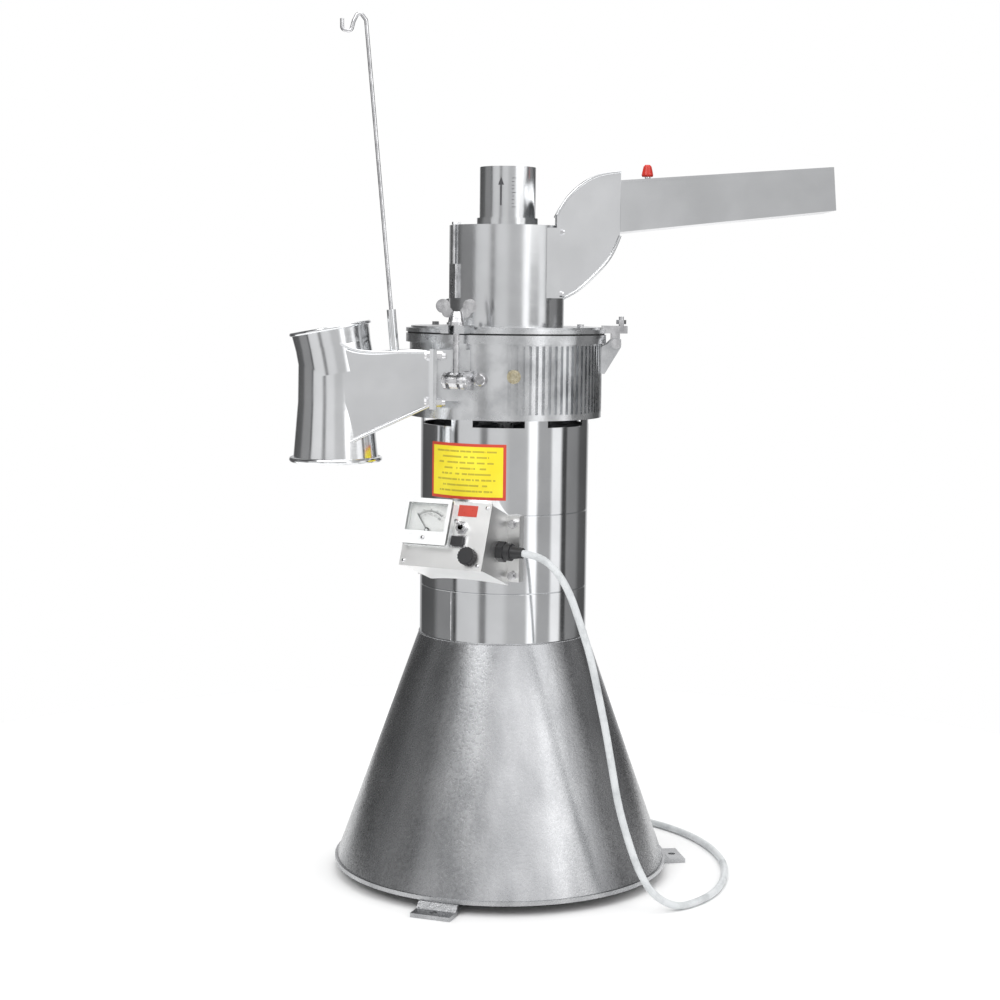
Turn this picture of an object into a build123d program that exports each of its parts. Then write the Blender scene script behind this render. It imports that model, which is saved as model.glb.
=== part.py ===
from build123d import *

import os
from math import atan2, cos, degrees, hypot, radians, sin, tan

# Vertical-shaft hammer mill. Millimetres, +Z up, origin on the machine axis at floor level, front is -Y.
# Azimuths are degrees from +X, so -90 is the front. All but the stand and the mains lead is drawn from
# the column's own zero, and raised by LIFT as it is written.

# --- Driving dimensions -------------------------------------------------------------------------
LIFT = 12.0                    # the column's own zero over the floor
SHEET = 2.0                    # sheet metal of the stand and column
RIM_R, RIM_Z = 202.0, 12.0     # skirt rim: outer radius and height over the floor
SKIRT_R, SKIRT_Z = 102.0, 293.0  # skirt top, over the floor
FOOT_AZIMUTHS = (-110, 10, 130)
FOOT_BOLT_R = 219.0            # circle of the three floor bolts
FOOT_BOLT_HOLE = 4.5
COLUMN_R = 101.0
SHELL_Z = SKIRT_Z - LIFT         # foot of the column
SEAM_LOW, SEAM_HIGH = 341.0, 433.0  # joints between the three column shells
VENT_Z, RING_Z = 535.0, 544.0  # foot of the vent slots, underside of the mill ring
RING_R, RING_LIP_R = 115.5, 120.0
LIP_Z, RING_TOP = 632.0, 642.0
CHAMBER_R = 100.0
FLOOR_T = 6.0                  # chamber floor plate
GASKET_T = 2.0
LID_Z = RING_TOP + GASKET_T    # underside of the lid flange
LID_T, STEP_T, STEP_R = 4.5, 2.5, 114.0
CYL_R, CYL_Z0, CYL_Z1 = 69.0, LID_Z + LID_T + STEP_T, 768.0
TUBE_R, TUBE_T = 33.4, 1.5     # fineness tube
TUBE_Z0, TUBE_Z1 = 692.0, 839.0
COLLAR_R, COLLAR_T = 36.4, 9.0
LOCK_Z = CYL_Z1 + 2 + COLLAR_T / 2  # the tube's lock screw, at the back of the collar
LOCK_AZIMUTH = 90.0
SHAFT_R = (8.5, 12.0, 10.0, 8.0)   # bearing seat, core seat, disc seat, thread
SHAFT_Z = (290.0, 330.0, 500.0, 602.0, 640.0)
FIT = 0.05                     # radial running clearance
GAP = 0.3                      # clearance between pieces that move apart
PIN_R, PIN_CIRCLE = 4.0, 52.0  # hammer pins
HAMMER_TIP, HAMMER_W = 88.0, 18.0
CLAMP_X, CLAMP_Y = 57.0, 122.0  # swing bolts, at (-x, -y) and (-x, +y)
CLAMP_PIVOT_Z, CLAMP_SHANK_R, LUG_SLOT_R = 590.0, 3.6, 5.4
NUT_Z = 654.0                  # seat of the wing nuts
HINGE_X, HINGE_Z = 131.0, 632.0
SPOUT_X = -83.0                # joint face of the outlet
JOINT_Y, JOINT_Z = -115.0, (565.0, 618.0)  # the joint's two bolts
PIPE_X, PIPE_Y = -198.0, -72.0  # T-pipe axis at its foot
HOOK_X, HOOK_Y, HOOK_Z = -133.0, -92.0, 670.0  # top of the bag hook's socket
HOOK_LEAN, HOOK_R = -5.3, 2.25
BOX_YAW, BOX_PITCH = -27.0, 20.0
BOX_HALF_W = 52.0
PANEL_U, PANEL_Z = 146.0, 414.0  # middle of the control panel
PANEL_H = 76.5
CORD_R = 4.25
COIL_AT, COIL_R = (20.0, 285.0), 47.5
FLOOR_CORD_Z = 4.3
EARTH_OUT = (cos(radians(-85.5)), sin(radians(-85.5)), 0)  # way out of the earth screw
GAUGE_V, GAUGE_W = -21.0, 11.0   # the panel's pieces: to the viewer's right, and up
TOGGLE_V, TOGGLE_W = 20.0, 9.0
BUTTON_V, BUTTON_W = 19.0, -7.5
KNOB_V, KNOB_W = 35.0, -24.5
PLATE_V, PLATE_W = 24.0, 29.0
TRAY_X0, TRAY_X1, TRAY_W = 132.0, 384.0, 90.0
TRAY_Z, TRAY_TILT = 763.0, 6.3   # foot of the tray's low end
TRAY_SIDE = (60.0, 50.0)         # height of its sides at the low and the high end
GATE_X = 166.0

os.makedirs("parts", exist_ok=True)


# --- Helpers ------------------------------------------------------------------------------------
def write(name, *solids, lift=LIFT):
    """Write one node; pieces of the same kind share it as separate solids."""
    raised = [Pos(0, 0, lift) * solid for solid in solids]
    shape = raised[0] if len(raised) == 1 else Compound(children=raised)
    export_step(shape, f"parts/{name}.step")


def ring(r_in, r_out, z0, z1, start=0.0, sweep=360.0):
    """A ring or a sector of one about Z."""
    face = Plane.XZ * Pos((r_in + r_out) / 2, (z0 + z1) / 2) * Rectangle(r_out - r_in, z1 - z0)
    return Rot(0, 0, start) * revolve(face, Axis.Z, revolution_arc=sweep)


def turned(points):
    """A solid of revolution about Z from an (r, z) outline."""
    return revolve(Plane.XZ * make_face(Polyline(*points, close=True)), Axis.Z)


def disc(r, z0, z1, at=(0.0, 0.0)):
    """A round bar along Z."""
    return Pos(at[0], at[1], (z0 + z1) / 2) * Cylinder(r, z1 - z0)


def block(x, y, z):
    """A box from three (low, high) pairs."""
    centre = [(low + high) / 2 for low, high in (x, y, z)]
    return Pos(*centre) * Box(x[1] - x[0], y[1] - y[0], z[1] - z[0])


def bar(r, start, end):
    """A round bar between two points."""
    axis = Vector(*end) - Vector(*start)
    return Plane(origin=start, z_dir=axis) * Pos(0, 0, axis.length / 2) * Cylinder(r, axis.length)


def prism(points, y0, y1):
    """An (x, z) outline extruded from y0 to y1."""
    face = Plane.XZ * make_face(Polyline(*points, close=True))
    return Pos(0, y1, 0) * extrude(face, y1 - y0)


def around(count, solid, start=0.0):
    """Copies of a solid evenly about Z."""
    return [Rot(0, 0, start + 360 / count * i) * solid for i in range(count)]


def cap_nut(r, height):
    """A hexagon nut with a domed cap, standing on z = 0."""
    hexagon = extrude(RegularPolygon(r, 6), height * 0.6)
    return hexagon + Pos(0, 0, height * 0.6) * Cylinder(r * 0.72, height * 0.4, align=(Align.CENTER,
                                                       Align.CENTER, Align.MIN))


def on_axis(point, direction, solid):
    """A solid drawn along +Z, moved to start at a point and run along a direction."""
    return Plane(origin=point, z_dir=direction) * solid


# --- Stand and column ---------------------------------------------------------------------------
def base_skirt():
    """Rolled sheet cone with a flange at its top and a hem at its rim."""
    slope = (RIM_R - SKIRT_R) / (SKIRT_Z - RIM_Z)
    wall = SHEET * hypot(1, slope)
    hem_z = RIM_Z + 5
    inner_top = SKIRT_R + slope * SHEET - wall
    return turned([
        (RIM_R - wall, RIM_Z), (RIM_R + 1, RIM_Z), (RIM_R + 1, hem_z), (RIM_R - slope * 5, hem_z),
        (SKIRT_R, SKIRT_Z), (70, SKIRT_Z), (70, SKIRT_Z - SHEET), (inner_top, SKIRT_Z - SHEET),
    ])


def base_feet():
    """Three bent feet, each with a hole for a floor bolt."""
    side = prism([(176, 12), (205, 12), (211, 5), (230, 5), (230, 0), (205, 0), (198, 7), (176, 7)],
                 -24, 24)
    foot = side - disc(FOOT_BOLT_HOLE, -1, 20, (FOOT_BOLT_R, 0))
    return [Rot(0, 0, a) * foot for a in FOOT_AZIMUTHS]


def column_shell(z0, z1):
    """A plain length of the column with broken outer edges."""
    edge = 0.8
    return turned([(COLUMN_R - SHEET, z0), (COLUMN_R - edge, z0), (COLUMN_R, z0 + edge),
                   (COLUMN_R, z1 - edge), (COLUMN_R - edge, z1), (COLUMN_R - SHEET, z1)])


def upper_shell():
    """The top length of the column, with seven vent notches under the mill ring."""
    shell = column_shell(SEAM_HIGH, RING_Z)
    for notch in around(7, ring(90, 110, VENT_Z, RING_Z + 1, -112, 35)):
        shell -= notch
    return shell


# --- Motor --------------------------------------------------------------------------------------
def motor_end_plates():
    """Bearing brackets under and over the motor, with holes for cooling air."""
    low = ring(20, 28, 294, 312) + ring(28, COLUMN_R - SHEET, 300, 306)
    high = ring(23.5, 32, 502, 522) + ring(32, COLUMN_R - SHEET, 508, 514)
    for hole in around(6, disc(12, 290, 530, (64, 0))):
        low -= hole
        high -= hole
    return low, high


def motor_stator():
    """Laminated ring in the middle of the column, with slots to the bore."""
    core = ring(50, COLUMN_R - SHEET, 356, 456)
    for slot in around(12, block((49, 66), (-3, 3), (350, 460))):
        core -= slot
    return core


def motor_bearings():
    low = ring(SHAFT_R[0] + FIT, 20, 296, 308)
    high = ring(SHAFT_R[2] + FIT, 23.5, 506, 520)
    return low, high


def motor_shaft():
    """The shaft steps down to a thread at its top."""
    z = SHAFT_Z
    r = SHAFT_R
    return turned([(0, z[0]), (r[0] - 1, z[0]), (r[0], z[0] + 1), (r[0], z[1]), (r[1], z[1]), (r[1], z[2]),
                   (r[2], z[2]), (r[2], z[3]), (r[3], z[3]), (r[3], z[4] - 1), (r[3] - 1, z[4]), (0, z[4])])


def cooling_fan():
    """Fan on the shaft under the rotor core."""
    fan = ring(SHAFT_R[0], 20, 314, 328) + ring(20, 82, 314, 317)
    for blade in around(8, block((19, 80), (-1.5, 1.5), (316, 328))):
        fan += blade
    return fan


# --- Grinding chamber ---------------------------------------------------------------------------
def outlet_passage():
    """The tangential way out of the chamber."""
    return block((SPOUT_X - 10, -10), (-104, -86), (573, 618))


def clear_of_ring():
    return disc(RING_R, RING_Z - 1, LIP_Z)


def mill_ring():
    """Cast ring with ribs round its right side, and the lid hinge's ears."""
    body = ring(CHAMBER_R, RING_R, RING_Z, LIP_Z)
    groove = block((RING_R - 5, RING_R + 3), (-1.9, 1.9), (RING_Z + 7, LIP_Z - 2))
    for azimuth in range(-88, 95, 4):
        if abs(azimuth) > 6:
            body -= Rot(0, 0, azimuth) * groove
    body += ring(CHAMBER_R, RING_LIP_R, LIP_Z, RING_TOP)
    ear = prism([(113, 596), (118, 596), (137, 628), (137, 637), (134, 638.5), (128, 638.5), (121.5, 632),
                 (113, 628)], 0, 6)
    for y in (-21, 15):
        body += Pos(0, y, 0) * ear - bar(PIN_R, (HINGE_X, -30, HINGE_Z), (HINGE_X, 30, HINGE_Z))
    body += block((104, 116), (-21, 21), (596, 628)) - disc(CHAMBER_R + 3, 560, 640)
    return body - outlet_passage() - on_axis(earth_point(2), EARTH_OUT, Pos(0, 0, -6) * Cylinder(2.5, 20))


def chamber_floor():
    """Plate under the chamber, with a raised boss about the shaft."""
    return ring(SHAFT_R[2] + GAP, CHAMBER_R, RING_Z, RING_Z + FLOOR_T) + ring(
        SHAFT_R[2] + GAP, 22, RING_Z - 8, RING_Z)


def toothed_liner():
    """Ring of saw teeth that the hammers beat against."""
    teeth, tip, root = 40, 92.0, 95.0
    outline = []
    for i in range(teeth):
        a = radians(360 / teeth * i)
        b = radians(360 / teeth * (i + 0.3))
        outline += [(tip * cos(a), tip * sin(a)), (root * cos(b), root * sin(b))]
    z0 = RING_Z + FLOOR_T
    bore = Pos(0, 0, z0 - 1) * extrude(make_face(Polyline(*outline, close=True)), 60)
    return disc(CHAMBER_R, z0, z0 + 48) - bore - outlet_passage()


def outlet_spout():
    """Square-sided branch on the ring, with a joint flange and its ears."""
    neck = block((SPOUT_X, -14), (-108, -82), (566, 625)) - clear_of_ring()
    flange = block((SPOUT_X, SPOUT_X + 4), (-122, -82), (557, 626)) - disc(RING_LIP_R + 0.5, 540, 650)
    for z in JOINT_Z:
        flange -= bar(3.2, (SPOUT_X - 5, JOINT_Y, z), (SPOUT_X + 9, JOINT_Y, z))
    return neck + flange - outlet_passage()


def ring_fasteners():
    """Two bolts with cap nuts through the outlet's joint."""
    bolts = []
    for z in JOINT_Z:
        shank = bar(3.0, (SPOUT_X - 4, JOINT_Y, z), (SPOUT_X + 4, JOINT_Y, z))
        nut = on_axis((SPOUT_X + 4, JOINT_Y, z), (1, 0, 0), cap_nut(5.5, 10))
        head = on_axis((SPOUT_X - 4, JOINT_Y, z), (-1, 0, 0), cap_nut(5.5, 6))
        bolts.append(shank + nut + head)
    return bolts


def earth_point(depth):
    """A point on the earth screw's axis, at a depth under the ring's surface."""
    return tuple((RING_R - depth) * k for k in EARTH_OUT[:2]) + (595,)


def earth_screw():
    """Slotted brass screw on a washer, on the ring's front."""
    washer = Cylinder(8, 1.5, align=(Align.CENTER, Align.CENTER, Align.MIN))
    head = Pos(0, 0, 1.5) * Cylinder(5.2, 3.2, align=(Align.CENTER, Align.CENTER, Align.MIN))
    slot = Pos(0, 0, 4.2) * Box(12, 1.2, 1.6)
    thread = Pos(0, 0, -4) * Cylinder(2.5, 8)
    return on_axis(earth_point(-0.05), EARTH_OUT, washer + head + thread - slot)


# --- Outlet duct --------------------------------------------------------------------------------
def duct_body(grow):
    """The duct from the joint to the T-pipe, from its side and its plan; grow moves every wall outward."""
    near, far = SPOUT_X - 2, PIPE_X - 3
    top = Spline((near, 621 + grow), (-140, 620.5 + grow), (-172, 621.5 + grow), (far, 636 + grow))
    low = Spline((far, 508 - grow), (-186, 515 - grow), (-140, 537.5 - grow), (near, 562 - grow))
    side = make_face([top, low, Line((far, 636 + grow), (far, 508 - grow)),
                      Line((near, 562 - grow), (near, 621 + grow))])
    front, back = (-104 - grow, -112 - grow), (-86 + grow, -40 + grow)
    plan = make_face(Polyline((near, front[0]), (far, front[1]), (far, back[1]), (near, back[0]), close=True))
    body = Plane.XZ * extrude(side, 200) & Pos(0, 0, 450) * extrude(plan, 250)
    if not grow:
        return body
    return fillet([edge for edge in body.edges() if abs(edge.tangent_at(0.5).X) > 0.3], 4)


def rolled_bead(r, z, size):
    """A rolled rim about Z, of twelve narrow faces."""
    return turned([(r + size * cos(radians(a)), z + size * sin(radians(a))) for a in range(15, 375, 30)])


def pipe_frames():
    """Where the T-pipe's lower and upper lengths stand."""
    return Pos(PIPE_X, PIPE_Y, 492) * Rot(0, -0.6, 0), Pos(PIPE_X + 1.5, PIPE_Y, 602) * Rot(0, -10.5, 0)


def pipe_solid(grow):
    """The T-pipe's two lengths; the top one leans, sleeves over the lower one and flares at its mouth."""
    low_r, mid_r, top_r = 50 + grow, 42.5 + grow, 45.8 + grow
    past = 2 if grow < 0 else 0
    low = turned([(0, -past), (low_r, -past), (mid_r + 1, 70), (mid_r, 116), (0, 116)])
    high = turned([(0, -6), (mid_r + 1.5, -6), (mid_r + 1.5, 26), (top_r, 48 + past), (0, 48 + past)])
    low_frame, high_frame = pipe_frames()
    return low_frame * low + high_frame * high


def outlet_duct():
    """Flange, duct, T-pipe with rolled beads, and the bag hook's socket, welded together."""
    flange = block((SPOUT_X - 4, SPOUT_X), (-122, -88), (557, 626)) - disc(RING_LIP_R + 0.5, 540, 650)
    for z in JOINT_Z:
        flange -= bar(3.2, (SPOUT_X - 5, JOINT_Y, z), (SPOUT_X + 9, JOINT_Y, z))
    low_frame, high_frame = pipe_frames()
    lean = Pos(HOOK_X, HOOK_Y, HOOK_Z) * Rot(0, HOOK_LEAN, 0)
    shell = duct_body(2) + pipe_solid(0)
    shell += low_frame * rolled_bead(51.3, 3.2, 3.2)
    shell += high_frame * rolled_bead(46.0, 46.0, 2.2)
    shell += lean * Pos(0, 0, -26) * Cylinder(5.2, 52)
    shell -= duct_body(0)
    shell -= pipe_solid(-1.8)
    bore = lean * Pos(0, 0, -18) * Cylinder(HOOK_R + FIT, 38)
    return flange - duct_body(0) - outlet_passage() + shell - bore


def bag_hook():
    """Thin rod in the socket, with an S-shaped hook at its top."""
    lean = Rot(0, HOOK_LEAN, 0)
    length = 328.0
    path = FilletPolyline((0, 0, -36), (0, 0, length), (-7, 0, length + 11), (-14, 0, length),
                          (-18, 0, length - 11), (-28, 0, length - 8), (-27, 0, length + 4), radius=4)
    rod = sweep(Plane(origin=(0, 0, -36), z_dir=(0, 0, 1)) * Circle(HOOK_R), path=path)
    return Pos(HOOK_X, HOOK_Y, HOOK_Z) * lean * rod


# --- Rotor --------------------------------------------------------------------------------------
def rotor_discs():
    """Hub with two discs that carry the hammer pins."""
    hub = ring(SHAFT_R[2], 22, 557, 602)
    discs = ring(22, 66, 560, 566) + ring(22, 66, 592, 598)
    for hole in around(4, disc(PIN_R, 550, 610, (PIN_CIRCLE, 0)), 45):
        discs -= hole
    return hub + discs


def rotor_fasteners():
    """Four hammer pins with heads, and the shaft nut."""
    pin = disc(PIN_R, 556.5, 601, (PIN_CIRCLE, 0)) + disc(6, 598, 601, (PIN_CIRCLE, 0))
    nut = Pos(0, 0, 628) * extrude(RegularPolygon(13, 6), 9) - disc(SHAFT_R[3], 620, 640)
    return [*around(4, pin, 45), nut]


def hammer():
    """Swinging bar on its pin, with a square beating end."""
    blade = block((PIN_CIRCLE, HAMMER_TIP), (-HAMMER_W / 2, HAMMER_W / 2), (570, 588))
    eye = disc(HAMMER_W / 2, 570, 588, (PIN_CIRCLE, 0))
    return blade + eye - disc(PIN_R + FIT, 560, 600, (PIN_CIRCLE, 0))


def impeller():
    """Fan over the discs that drives the ground meal to the outlet."""
    wheel = ring(SHAFT_R[3], 18, 603, 628) + ring(18, 86, 603, 606)
    for blade in around(8, block((17, 84), (-1.5, 1.5), (605, 624))):
        wheel += blade
    return wheel


# --- Lid ----------------------------------------------------------------------------------------
def lid_flange():
    """Stepped lid ring with two lugs, each a web and two tines that the swing bolt stands between."""
    plate = ring(60, RING_LIP_R, LID_Z, LID_Z + LID_T) + ring(60, STEP_R, LID_Z + LID_T, CYL_Z0)
    plate -= block((STEP_R + 1, 150), (-13.5, 13.5), (640, LID_Z + LID_T))
    reach = hypot(CLAMP_X, CLAMP_Y)
    lugs = []
    for side in (-1, 1):
        a = degrees(atan2(side * CLAMP_Y, -CLAMP_X))
        web = block((STEP_R - 2, reach - LUG_SLOT_R), (-15, 15), (LID_Z, NUT_Z - 1))
        plate += Rot(0, 0, a) * (web - disc(RING_LIP_R, 640, 660))
        for y in ((-15, -LUG_SLOT_R), (LUG_SLOT_R, 15)):
            lugs.append(Rot(0, 0, a) * block((reach - LUG_SLOT_R, 145), y, (LID_Z, NUT_Z - 1)))
    return [plate, *lugs]


def hinge_bar():
    """Arm from the lid to the hinge pin, with a stop screw standing on it."""
    arm = block((STEP_R + 1, 145), (-13, 13), (LID_Z, 653))
    knuckle = bar(6, (HINGE_X, -14.5, HINGE_Z), (HINGE_X, 14.5, HINGE_Z))
    web = block((HINGE_X - 5, HINGE_X + 5), (-13, 13), (HINGE_Z, LID_Z))
    stud = disc(3, 653, 664, (138, 0)) + Pos(138, 0, 655) * extrude(RegularPolygon(6, 6), 5)
    return arm + knuckle + web + stud - bar(PIN_R + FIT, (HINGE_X, -30, HINGE_Z), (HINGE_X, 30, HINGE_Z))


def hinge_pins():
    """The lid's hinge pin and the two pins that the swing bolts turn on."""
    lid_pin = bar(PIN_R, (HINGE_X, -23, HINGE_Z), (HINGE_X, 23, HINGE_Z))
    lid_pin += bar(6, (HINGE_X, -25, HINGE_Z), (HINGE_X, -21, HINGE_Z))
    reach = hypot(CLAMP_X, CLAMP_Y)
    pins = [lid_pin]
    for side in (-1, 1):
        a = degrees(atan2(side * CLAMP_Y, -CLAMP_X))
        pin = bar(PIN_R, (reach, -14, CLAMP_PIVOT_Z), (reach, 14, CLAMP_PIVOT_Z))
        pin += bar(6.5, (reach, -16, CLAMP_PIVOT_Z), (reach, -13, CLAMP_PIVOT_Z))
        pin += bar(6.5, (reach, 13, CLAMP_PIVOT_Z), (reach, 16, CLAMP_PIVOT_Z))
        pins.append(Rot(0, 0, a) * pin)
    return pins


def clamp_brackets():
    """Pairs of ears welded to the ring, that hold the swing bolts' pins."""
    reach = hypot(CLAMP_X, CLAMP_Y)
    brackets = []
    for side in (-1, 1):
        a = degrees(atan2(side * CLAMP_Y, -CLAMP_X))
        ears = block((112, 119), (-13, 13), (CLAMP_PIVOT_Z - 11, CLAMP_PIVOT_Z + 11))
        for y in (-13, 9):
            ears += block((118, reach), (y, y + 4), (CLAMP_PIVOT_Z - 10, CLAMP_PIVOT_Z + 10))
            ears += bar(10, (reach, y, CLAMP_PIVOT_Z), (reach, y + 4, CLAMP_PIVOT_Z))
        ears -= bar(PIN_R, (reach, -30, CLAMP_PIVOT_Z), (reach, 30, CLAMP_PIVOT_Z))
        placed = Rot(0, 0, a) * ears - clear_of_ring()
        brackets.append(placed - block((SPOUT_X, -14), (-108, -82), (566, 625)))
    return brackets


def swing_bolt(side):
    """Eye bolt: an eye on its pin, and a shank that stands in the lid's slot."""
    reach = hypot(CLAMP_X, CLAMP_Y)
    eye = bar(9.5, (reach, -5, CLAMP_PIVOT_Z), (reach, 5, CLAMP_PIVOT_Z))
    shank = disc(CLAMP_SHANK_R, CLAMP_PIVOT_Z + 6, NUT_Z - GAP, (reach, 0))
    bolt = eye + shank - bar(PIN_R + FIT, (reach, -9, CLAMP_PIVOT_Z), (reach, 9, CLAMP_PIVOT_Z))
    return Rot(0, 0, degrees(atan2(side * CLAMP_Y, -CLAMP_X))) * bolt


def wing_nut(side):
    """Wing nut: a tapered hub and two raised round wings."""
    nut = turned([(0, 0), (9.5, 0), (9.5, 3), (7, 15), (0, 15)])
    for turn in (0, 180):
        for centre, r, half in (((15.5, 21), 8.0, 1.7), ((10.5, 14), 6.0, 1.9)):
            lobe = Pos(centre[0], 0, centre[1]) * Rot(90, 0, 0) * Cylinder(r, 2 * half)
            nut += Rot(0, 0, turn) * lobe
    return Pos(-CLAMP_X, side * CLAMP_Y, NUT_Z) * Rot(0, 0, 12) * nut


def lid_screws():
    """Small hexagon screws on the lid flange."""
    screw = Pos(106, 0, CYL_Z0) * extrude(RegularPolygon(4.5, 6), 4)
    return [Rot(0, 0, a) * screw for a in (-35, 55, 145, 235)]


def feed_hole():
    """The chute's way into the cylinder."""
    return block((40, 80), (-38, 38), (694, 760))


def upper_cylinder():
    """Drum over the lid, closed at its top but for the tube's collar."""
    wall = ring(CYL_R - SHEET, CYL_R, CYL_Z0, CYL_Z1) + ring(TUBE_R + 0.6, CYL_R, CYL_Z1, CYL_Z1 + 2)
    collar = ring(TUBE_R + FIT, COLLAR_R, CYL_Z1 + 2, CYL_Z1 + 2 + COLLAR_T)
    screw_hole = Rot(0, 0, LOCK_AZIMUTH) * bar(2.0 + FIT, (20, 0, LOCK_Z), (60, 0, LOCK_Z))
    return wall + collar - feed_hole() - screw_hole


def scale_strap():
    """Perforated strap and thin rod at the drum's left front."""
    strap = block((CYL_R - 0.5, CYL_R + 4), (-7.5, 7.5), (684, 724))
    for z in (690, 697, 704):
        strap -= bar(2.2, (60, 0, z), (80, 0, z))
    rod = disc(2, 722, CYL_Z1 + 2, (CYL_R + 2, 0)) + block((CYL_R - 6, CYL_R + 4), (-2, 2),
                                                         (CYL_Z1 + 2, CYL_Z1 + 5))
    return Rot(0, 0, -152) * (strap - disc(CYL_R, 680, 740) + rod)


def fineness_tube():
    """Sliding tube that sets how fine the meal is ground."""
    return ring(TUBE_R - TUBE_T, TUBE_R, TUBE_Z0, TUBE_Z1)


def tube_lock_screw():
    """Thumb screw in the collar that holds the tube."""
    shank = bar(2.0, (TUBE_R + GAP, 0, LOCK_Z), (44, 0, LOCK_Z))
    head = bar(3.5, (42, 0, LOCK_Z), (46, 0, LOCK_Z))
    wing = block((45, 57), (-1.4, 1.4), (LOCK_Z - 3.8, LOCK_Z + 3.8))
    return Rot(0, 0, LOCK_AZIMUTH) * (shank + head + wing)


# --- Feeder -------------------------------------------------------------------------------------
CHUTE_TOP = [(58, 782), (66, 798), (81, 814), (98, 825.5), (116, 831.5), (TRAY_X0, 833)]
CHUTE_LOW = [(TRAY_X0, 759), (125, 739), (111, 720.5), (93, 702.5), (79, 691.5), (66, 685)]


def chute_side(inset):
    """The chute's side outline, moved inward by a wall, and open at both ends when inset."""
    past = 20 if inset else 0
    top = [Vector(x, z - inset) for x, z in CHUTE_TOP]
    low = [Vector(x, z + inset) for x, z in CHUTE_LOW]
    ends = [(top[-1], top[-1] + Vector(past, 0), low[0] + Vector(past, 0), low[0]),
            (low[-1], low[-1] - Vector(past + 8, 0), top[0] - Vector(past, 0), top[0])]
    edges = [Spline(*top), Spline(*low)]
    for corners in ends:
        edges += [Line(a, b) for a, b in zip(corners, corners[1:]) if (b - a).length > 0]
    return Plane.XZ * make_face(edges)


def feed_chute():
    """Curved square-section chute with a saddle flange on the drum."""
    half = TRAY_W / 2 - 1
    outer = extrude(chute_side(0), half, both=True)
    inner = extrude(chute_side(2), half - 2, both=True)
    saddle = block((40, 62), (-half - 7, half + 7), (685, 767))
    saddle -= block((30, 80), (-half + 6, half - 6), (694, 761))
    body = outer - inner + saddle - disc(CYL_R, 600, 900)
    return body - feed_hole()


def chute_screws():
    """Four screws that hold the saddle on the drum."""
    screws = []
    for y in (-48.2, 48.2):
        for z in (690, 762):
            screws.append(on_axis((62, y, z), (1, 0, 0), cap_nut(3.6, 5)))
    return screws


def tray_floor(x):
    """Height of the tray's underside at a distance along X."""
    return TRAY_Z + (x - TRAY_X0) * tan(radians(TRAY_TILT))


def feed_tray():
    """Inclined open-topped tray with folded edges and an open low end."""
    half = TRAY_W / 2 + 2
    z0, z1 = tray_floor(TRAY_X0), tray_floor(TRAY_X1)
    low, high = z0 + TRAY_SIDE[0], z1 + TRAY_SIDE[1]
    side = [(TRAY_X0, z0), (TRAY_X1, z1), (TRAY_X1 - 4, high), (TRAY_X0, low)]
    inner = [(TRAY_X0 - 20, tray_floor(TRAY_X0 - 20) + 2), (TRAY_X1 - 2, z1 + 2), (TRAY_X1 - 6, high + 8),
             (TRAY_X0 - 20, low + 20)]
    tray = prism(side, -half, half) - prism(inner, -half + 1.5, half - 1.5)
    for y in (-half - 3, half - 1):
        ends = (TRAY_X0 + 2, low), (TRAY_X1 - 5, high)
        rim = [(x, z - 3) for x, z in ends] + [(x, z) for x, z in reversed(ends)]
        tray += prism(rim, y, y + 4)
    gate_slot = block((GATE_X - 0.95, GATE_X + 0.95), (-46, 46), (tray_floor(GATE_X) + 2.4, 870))
    return tray - gate_slot


def feed_gate():
    """Sliding plate across the tray with a stem for its knob."""
    plate = block((GATE_X - 0.65, GATE_X + 0.65), (-45.7, 45.7), (tray_floor(GATE_X) + 2.9, 827))
    return plate + disc(3, 826, 830, (GATE_X, 0))


def gate_knob():
    """Small cone-shaped knob on the gate's stem."""
    return Pos(GATE_X, 0, 830) * turned([(0, 0), (6.3, 0), (7, 2), (4.8, 12), (3, 14), (0, 14)])


# --- Control box --------------------------------------------------------------------------------
YAW = Rot(0, 0, BOX_YAW)
PANEL = YAW * Location(Plane(origin=(0, -PANEL_U, PANEL_Z), x_dir=(1, 0, 0),
                             z_dir=(0, -cos(radians(BOX_PITCH)), sin(radians(BOX_PITCH)))))


def side_outline(inset, depth):
    """The box's side outline in (y, z), from its panel back to the column."""
    c, s = cos(radians(BOX_PITCH)), sin(radians(BOX_PITCH))
    half = PANEL_H / 2 - inset
    front = [(-PANEL_U + s * k, PANEL_Z + c * k) for k in (half, -half)]
    back = [(y + c * depth, z - s * depth) for y, z in (front[1], front[0])]
    return front + back


def box_prism(inset, depth, half):
    """That outline extruded across the box's width."""
    face = Plane.YZ * make_face(Polyline(*side_outline(inset, depth), close=True))
    return extrude(face, half, both=True)


def control_box():
    """Sheet housing cut to the column, with flanges at its back edges."""
    housing = box_prism(0, 75, BOX_HALF_W)
    for side in (-1, 1):
        housing += block((side * 59 - 8, side * 59 + 8), (-92, -80), (357, 434))
    housing -= disc(COLUMN_R, 300, 500)
    gland_hole = bar(7, (40, -115, 395), (60, -115, 395))
    return YAW * (housing - box_prism(1.5, 73, BOX_HALF_W - 1.5) - gland_hole)


def control_panel():
    """Front plate with holes for the switch, button and knob spindles."""
    plate = Pos(0, 0, 1) * Box(2 * BOX_HALF_W + 3, PANEL_H + 3, 2)
    for v, w, r in ((TOGGLE_V, TOGGLE_W, 6), (KNOB_V, KNOB_W, 4)):
        plate -= Pos(v, w, 0) * Cylinder(r, 10)
    return PANEL * (plate - Pos(BUTTON_V, BUTTON_W, 0) * Box(15, 11, 10))


def box_nuts():
    """Cap nuts that hold the box's flanges on the column."""
    nuts = []
    for side in (-1, 1):
        for z in (365, 425):
            nuts.append(YAW * on_axis((side * 60, -92, z), (0, -1, 0), cap_nut(5.5, 9)))
    return nuts


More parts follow.
